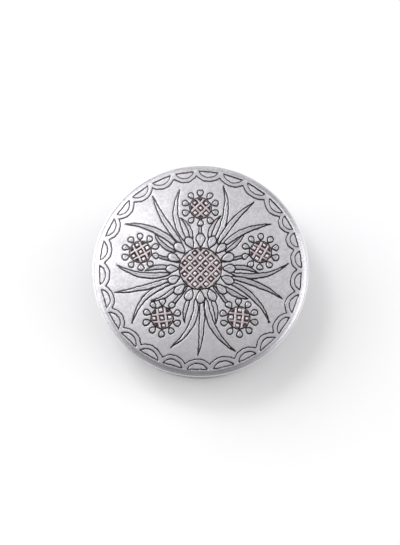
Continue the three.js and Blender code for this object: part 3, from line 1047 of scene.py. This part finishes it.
def lay_out(mesh, vertices, inner_count):
    """A texture map of two discs: the top with its shoulder, and the underside in the free corner."""
    upper, under = lid_profile()
    profile = np.concatenate([[(TOP_RADIUS, LID_TOP)], upper, under, [(0, PLATE_UNDERSIDE)]])
    length = np.concatenate([[0], np.cumsum(norms(np.diff(profile, axis=0)))])
    top_length = length[len(upper)]
    corner = whole_numbers(mesh.loops, "vertex_index")
    ring = np.where(corner < inner_count, -1, (corner - inner_count) // ROUND_SEGMENTS)
    deepest = np.maximum.reduceat(ring, whole_numbers(mesh.polygons, "loop_start"))
    below = np.repeat(deepest, whole_numbers(mesh.polygons, "loop_total")) > len(upper)
    plane = vertices[corner][:, :2]
    radius = norms(plane)
    way = plane / np.maximum(radius, MESH_TOLERANCE)[:, None]
    along = length[np.clip(ring, 0, None)]
    reach = np.where(ring < 0, radius, TOP_RADIUS + along) / (TOP_RADIUS + top_length)
    top_uv = TOP_DISC_CENTRE_SHARE + way * (reach * TOP_DISC_RADIUS_SHARE)[:, None]
    reach = (length[-1] - along) / (length[-1] - top_length)
    under_uv = UNDER_DISC_CENTRE_SHARE + way * (reach * UNDER_DISC_RADIUS_SHARE)[:, None]
    uv = np.where(below[:, None], under_uv, top_uv)
    mesh.uv_layers.new(name="OFBake").data.foreach_set("uv", uv.ravel())


# Materials

class Nodes:
    """A short way to write a node tree."""

    def __init__(self, tree):
        self.tree = tree
        tree.nodes.clear()

    def add(self, kind, inputs=None, **settings):
        node = self.tree.nodes.new(kind)
        for name, value in settings.items():
            setattr(node, name, value)
        for key, value in (inputs or {}).items():
            self.join(value, node.inputs[key])
        return node

    def join(self, value, socket):
        if isinstance(value, bpy.types.NodeSocket):
            self.tree.links.new(value, socket)
        else:
            socket.default_value = value

    def math(self, operation, *values):
        node = self.add("ShaderNodeMath", operation=operation)
        for value, socket in zip(values, node.inputs):
            self.join(value, socket)
        return node.outputs[0]

    def times(self, first, second):
        return self.math("MULTIPLY", first, second)

    def plus(self, first, second):
        return self.math("ADD", first, second)

    def times_plus(self, first, second, third):
        return self.math("MULTIPLY_ADD", first, second, third)

    def rest(self, value):
        """What is left of 1."""
        return self.math("SUBTRACT", 1, value)

    def along(self, vector, way):
        return self.add("ShaderNodeVectorMath", {0: vector, 1: way}, operation="DOT_PRODUCT").outputs["Value"]

    def blend(self, factor, first, second):
        node = self.add("ShaderNodeMix", data_type="RGBA")
        sockets = [s for s in node.inputs if s.name in ("Factor", "A", "B") and s.enabled]
        for value, socket in zip((factor, first, second), sockets):
            self.join(value, socket)
        return next(s for s in node.outputs if s.enabled)

    def range(self, value, low, high, out_low, out_high):
        inputs = {"Value": value, "From Min": low, "From Max": high, "To Min": out_low, "To Max": out_high}
        return self.add("ShaderNodeMapRange", inputs).outputs["Result"]

    def stain(self, metal, mask, spread, shares, value=1):
        """Metal with a stain where the mask has it."""
        return self.blend(self.range(mask, *spread), metal, tone(shares, value))

    def noise(self, vector, scale, detail, roughness):
        inputs = {"Vector": vector, "Scale": scale, "Detail": detail, "Roughness": roughness}
        return self.add("ShaderNodeTexNoise", inputs).outputs["Fac"]

    def attribute(self, name):
        return self.add("ShaderNodeAttribute", attribute_name=name).outputs["Fac"]

    def place(self):
        return self.add("ShaderNodeTexCoord").outputs["Object"]

    def axes(self, vector):
        return self.add("ShaderNodeSeparateXYZ", {"Vector": vector}).outputs

    def finish(self, looks, height, strength, depth):
        """Ends a material with its shader, over a bump of some strength and depth."""
        bump = self.add("ShaderNodeBump", {"Strength": strength, "Distance": depth * MM, "Height": height})
        shader = self.add("ShaderNodeBsdfPrincipled", {**looks, "Normal": bump.outputs["Normal"]})
        self.add("ShaderNodeOutputMaterial", {"Surface": shader.outputs[0]})


def tone(shares, value=1):
    """The colour of a tone, whose lightness is a share of a value."""
    share, red, blue = shares
    light = value * share
    return (light * (1 + red), light, light * (1 + blue), 1)


def new_material(name):
    material = bpy.data.materials.new(name)
    material.use_nodes = True
    return material, Nodes(material.node_tree)


def lathe_lines(nodes, place):
    """Fine lines that run round the box's axis, and rings of slow change between them."""
    x, y, z = nodes.axes(place)
    radius = nodes.math("SQRT", nodes.plus(nodes.times(x, x), nodes.times(y, y)))
    across = nodes.add("ShaderNodeCombineXYZ", {"X": radius, "Y": z}).outputs[0]
    return [nodes.noise(across, *noise) for noise in LATHE_NOISES]


def lid_metal(nodes, place, cloud, speck, raised, turned):
    """The bare metal's colour: lighter where it is turned, darkened by painted shade towards the front,
    clouded and specked.
    """
    mottle = nodes.noise(place, *MOTTLE_NOISE)
    grit = nodes.noise(place, *GRIT_NOISE)
    metal = nodes.blend(raised, tone(FIELD_TONE), tone(RAISED_TONE))
    metal = nodes.blend(turned, metal, tone(SHOULDER_TONE))
    metal = nodes.blend(nodes.attribute("disc"), metal, tone(DISC_TONE))
    metal = nodes.stain(metal, cloud, *CLOUD_STAIN)
    metal = nodes.stain(metal, mottle, *MOTTLE_STAIN)
    # Painted shade that darkens the front of the lid, with a wandering edge
    wandering = nodes.times_plus(cloud, FRONT_SHADE_WANDER * MM, nodes.axes(place)["Y"])
    full, gone = (y * MM for y in FRONT_SHADE_REACH)
    front_shade = nodes.range(wandering, full, gone, FRONT_SHADE_SHARE, 0)
    front_shade = nodes.times(front_shade, nodes.range(turned, 0, 1, 1, FRONT_SHADE_SHOULDER_SHARE))
    metal = nodes.blend(front_shade, metal, tone(FRONT_SHADE_TONE))
    metal = nodes.stain(metal, grit, *GRIT_STAIN)
    metal = nodes.stain(metal, speck, *SPECK_STAIN)
    # Edges and seeds rubbed bright, and the lip's painted highlight
    return nodes.blend(nodes.attribute("wear_and_highlight"), metal, tone(BRIGHT_TONE))


def lid_patina(nodes, place, patchy):
    """The dark colour of the cut lines, lightened by a painted sheen towards one side."""
    start, full = (reach * MM for reach in SHEEN_REACH)
    # Painted sheen: the lines grow lighter towards one side
    sheen = nodes.range(nodes.along(place, SHEEN_WAY), start, full, 0, 1)
    patina = nodes.blend(patchy, *[tone(shares) for shares in PATINA_TONES])
    return nodes.blend(sheen, patina, tone(SHEEN_PATINA_TONE))


def lid_pewter():
    """Cast pewter, with patina in its cut lines and rust red in its seed cells."""
    material, nodes = new_material("lid_pewter")
    place = nodes.place()
    raised = nodes.attribute("raised")
    turned = nodes.attribute("turned")
    cloud = nodes.noise(place, *CLOUD_NOISE)
    speck = nodes.noise(place, *SPECK_NOISE)
    patchy = nodes.range(speck, *PATCHY_SPREAD)
    metal = lid_metal(nodes, place, cloud, speck, raised, turned)
    ink = nodes.range(nodes.attribute("groove"), *INK_SPREAD)
    ink = nodes.times(ink, nodes.range(speck, *BROKEN_INK_SPREAD))
    line = nodes.range(nodes.attribute("rib"), *RIB_INK_SPREAD)
    line = nodes.times(line, nodes.range(speck, *BROKEN_RIB_SPREAD))
    stain = nodes.math("MAXIMUM", ink, line)
    # Painted shade in the creases of the lid's profile
    stain = nodes.math("MAXIMUM", stain, nodes.times(nodes.attribute("grime_and_shade"), LID_SHADE_SHARE))
    colour = nodes.blend(stain, metal, lid_patina(nodes, place, patchy))
    red = nodes.range(nodes.attribute("cell"), *RUST_SPREAD)
    colour = nodes.blend(red, colour, nodes.blend(patchy, *RUST_COLOURS))
    dull = nodes.math("MAXIMUM", stain, red)
    rough = nodes.range(raised, 0, 1, FIELD_ROUGHNESS, RAISED_ROUGHNESS)
    rough = nodes.plus(rough, nodes.times(dull, DULL_ROUGHNESS))
    rough = nodes.plus(rough, nodes.range(cloud, *CLOUD_ROUGHNESS_SPREAD))
    metallic = nodes.times(METAL_SHARE, nodes.rest(nodes.times(dull, PATINA_DULL_SHARE)))
    grainy = nodes.times_plus(nodes.rest(raised), FIELD_GRAIN_SHARE, RAISED_GRAIN_SHARE)
    relief = nodes.times(nodes.noise(place, *GRAIN_NOISE), grainy)
    relief = nodes.times(relief, nodes.rest(turned))
    for lines, share in zip(lathe_lines(nodes, place), LID_LATHE_SHARES):
        relief = nodes.times_plus(nodes.times(lines, turned), share, relief)
    looks = {"Base Color": colour, "Roughness": rough, "Metallic": metallic, "IOR": LID_IOR}
    nodes.finish(looks, relief, *LID_BUMP)
    return material


def with_seam(nodes, place, wobble, value, metal, rough):
    """A wall's metal and roughness, with the soldered seam where its two edges meet."""
    width = SEAM_WIDTH * MM
    x, y, _ = nodes.axes(place)
    off = nodes.math("ABSOLUTE", nodes.plus(x, nodes.times_plus(wobble, width / 2, -width / 4)))
    near = nodes.range(off, width / 4, width / 2, 1, 0)
    seam = nodes.times(near, nodes.math("GREATER_THAN", y, 0))
    metal = nodes.blend(nodes.times(seam, SEAM_STAIN_SHARE), metal, tone(SEAM_SHARES, value))
    return metal, nodes.times_plus(seam, SEAM_ROUGHNESS, rough)


def turned_pewter(name, value, roughness, lines, seamed=False):
    """Pewter finished on a lathe: fine lines run round it, and it is clouded, scratched and rubbed bright."""
    material, nodes = new_material(name)
    place = nodes.place()
    fine, slow = lathe_lines(nodes, place)
    cloud = nodes.noise(place, *TARNISH_NOISE)
    spots = nodes.noise(place, *SPOT_NOISE)
    streaks = {"Vector": place, "Rotation": STREAK_TURN, "Scale": STREAK_SHARES}
    scratch = nodes.noise(nodes.add("ShaderNodeMapping", streaks).outputs["Vector"], *SCRATCH_NOISE)
    metal = tone(CLEAN_SHARES, value)
    metal = nodes.stain(metal, cloud, *TARNISH_STAIN_SHARES, value)
    metal = nodes.stain(metal, spots, *SPOT_STAIN_SHARES, value)
    metal = nodes.stain(metal, slow, *RING_STAIN_SHARES, value)
    metal = nodes.blend(nodes.attribute("wear_and_highlight"), metal, tone(WORN_SHARES, value))
    rough = nodes.plus(roughness, nodes.range(cloud, *TARNISH_ROUGHNESS_SPREAD))
    rough = nodes.plus(rough, nodes.range(scratch, *SCRATCH_ROUGHNESS_SPREAD))
    if seamed:
        metal, rough = with_seam(nodes, place, scratch, value, metal, rough)
    # Painted shade in creases and under the lid's lip, patchy and duller like grime
    grime_and_shade = nodes.times(nodes.attribute("grime_and_shade"), nodes.range(spots, *SHADE_PATCH_SPREAD))
    metal = nodes.blend(grime_and_shade, metal, tone(PAINTED_SHADE_TONE))
    rough = nodes.times_plus(grime_and_shade, SHADE_GRIME_ROUGHNESS, rough)
    metallic = nodes.times(METAL_SHARE, nodes.rest(nodes.times(grime_and_shade, SHADE_GRIME_DULL_SHARE)))
    relief = nodes.times(nodes.times_plus(slow, SLOW_LATHE_SHARE, fine), lines)
    relief = nodes.times_plus(scratch, SCRATCH_SHARE, relief)
    looks = {"Base Color": metal, "Roughness": rough, "Metallic": metallic, "IOR": TURNED_IOR}
    nodes.finish(looks, relief, *TURNED_BUMP)
    return material


def solder_metal():
    """Solder as it ran and set: duller than the pewter, with a frosted and dimpled skin."""
    material, nodes = new_material("solder")
    place = nodes.place()
    frost = nodes.noise(place, *FROST_NOISE)
    dimple = nodes.noise(place, *DIMPLE_NOISE)
    metal = nodes.blend(nodes.range(dimple, *DIMPLE_SPREAD), *[tone(shares) for shares in SOLDER_TONES])
    looks = {"Base Color": metal, "Roughness": nodes.range(frost, *FROST_ROUGHNESS_SPREAD), "Metallic": 1.0}
    nodes.finish(looks, nodes.times_plus(frost, FROST_SHARE, dimple), *SOLDER_BUMP)
    return material


# The studio: floor, backdrop, light and camera

def add_floor():
    half = FLOOR_SIZE / 2
    square = [(-half, -half, 0), (half, -half, 0), (half, half, 0), (-half, half, 0)]
    floor = add_object("floor", new_mesh("floor", np.array(square), [(0, 1, 2, 3)]))
    material, nodes = new_material("floor_paper")
    place = nodes.place()
    tint = nodes.blend(nodes.noise(place, *PAPER_TINT_NOISE), *[tone(shares) for shares in PAPER_TONES])
    looks = {"Base Color": tint, "Roughness": PAPER_ROUGHNESS}
    nodes.finish(looks, nodes.noise(place, *PAPER_GRAIN_NOISE), *PAPER_BUMP)
    floor.data.materials.append(material)


def add_backdrop():
    segments = BACKDROP_SIDES
    rings = [ring_of_points(BACKDROP_RADIUS, height, segments) for height in (BACKDROP_FOOT, BACKDROP_TOP)]
    mesh = new_mesh("backdrop", np.concatenate(rings), ring_faces(0, segments, segments))
    mesh.shade_smooth()
    backdrop = add_object("backdrop", mesh)
    backdrop.visible_diffuse = False
    backdrop.visible_glossy = False
    backdrop.visible_shadow = False
    material, nodes = new_material("backdrop_paper")
    paper = nodes.add("ShaderNodeEmission", {"Color": tone(BACKDROP_TONE), "Strength": 1.0})
    nodes.add("ShaderNodeOutputMaterial", {"Surface": paper.outputs[0]})
    mesh.materials.append(material)


def add_world():
    """A pale room: an even glow, with brighter and dimmer stretches in some directions."""
    world = bpy.data.worlds.new("room")
    world.use_nodes = True
    nodes = Nodes(world.node_tree)
    way = nodes.add("ShaderNodeTexCoord").outputs["Generated"]
    level = ROOM_GLOW
    for direction, inner, outer, gain in LOBES:
        facing = nodes.along(way, Vector(direction).normalized())
        low, high = math.cos(math.radians(outer)), math.cos(math.radians(inner))
        level = nodes.plus(level, nodes.range(facing, low, high, 0, gain))
    sky = nodes.add("ShaderNodeBackground", {"Color": ROOM_COLOUR, "Strength": level})
    nodes.add("ShaderNodeOutputWorld", {"Surface": sky.outputs[0]})
    bpy.context.scene.world = world


def aim(thing, target):
    way = Vector(target) - thing.location
    thing.rotation_euler = way.to_track_quat("-Z", "Y").to_euler()


def add_lights():
    for name, place, width, height, watts, mirrored in LIGHTS:
        light = bpy.data.lights.new(name, "AREA")
        light.shape = "RECTANGLE"
        light.size = width * MM
        light.size_y = height * MM
        light.energy = watts
        lamp = add_object(name, light)
        lamp.location = [value * MM for value in place]
        lamp.visible_camera = False
        lamp.visible_glossy = mirrored
        aim(lamp, (0, 0, LID_TOP * MM))


def add_camera():
    """A camera that puts the lid's rim where it lies in the photograph."""
    width_px, height_px = PHOTO_SIZE_PX
    focal_px = CAMERA_DISTANCE * LID_RADIUS_PX / LID_RADIUS
    pixel = LID_RADIUS / LID_RADIUS_PX
    right = (LID_CENTRE_PX[0] - width_px / 2) * pixel
    down = (LID_CENTRE_PX[1] - height_px / 2) * pixel
    rim_height = (LIP_TOP + LIP_UNDERSIDE) / 2
    level, steep = math.cos(CAMERA_ELEVATION), math.sin(CAMERA_ELEVATION)
    # The near half of a tilted rim looks larger, so the middle of its outline lies below its true middle
    from_rim = CAMERA_DISTANCE ** 2 - (LID_RADIUS * level) ** 2
    sag = LID_RADIUS ** 2 * level * steep * CAMERA_DISTANCE / from_rim
    sight = np.array([0, -level, steep])
    upward = np.array([0, steep, level])
    target = np.array([-right, 0, rim_height]) + upward * (down - sag)
    data = bpy.data.cameras.new("camera")
    data.sensor_fit = "VERTICAL"
    data.sensor_height = SENSOR
    data.lens = focal_px / height_px * SENSOR
    data.clip_start = CAMERA_DISTANCE * CLIP_SHARES[0] * MM
    data.clip_end = CAMERA_DISTANCE * CLIP_SHARES[1] * MM
    camera = add_object("camera", data)
    camera.location = (target + sight * CAMERA_DISTANCE) * MM
    aim(camera, target * MM)
    bpy.context.scene.camera = camera


add_camera()
add_world()
add_lights()
add_floor()
add_backdrop()
bpy.context.scene.view_settings.view_transform = "Standard"

spun = turned_pewter("spun_pewter", *SPUN_FINISH)
rolled = turned_pewter("rolled_pewter", *ROLLED_FINISH, seamed=True)
cast = turned_pewter("cast_pewter", *CAST_FINISH)
solder = solder_metal()
add_piece("relief_lid", lid_mesh(), "lid_plate", "lid", lid_pewter())
add_piece("turned_foot", foot_mesh(), "foot_ring", "box", cast)
add_piece("turned_base", base_mesh(), "base_plate", "box", spun)
add_piece("rolled_wall", wall_mesh(), "body_wall", "box", rolled)
add_piece("round_bead", bead_mesh(), "mouth_bead", "box", cast)
base_solder = solder_mesh("base_solder", "base_solder_fillet", 1)
add_piece("base_solder", base_solder, "base_solder_fillet", "box", solder)
add_piece("inner_ring", locating_mesh(), "locating_ring", "lid", spun)
lid_solder = solder_mesh("lid_solder", "lid_solder_fillet", -1)
add_piece("lid_solder", lid_solder, "lid_solder_fillet", "lid", solder)
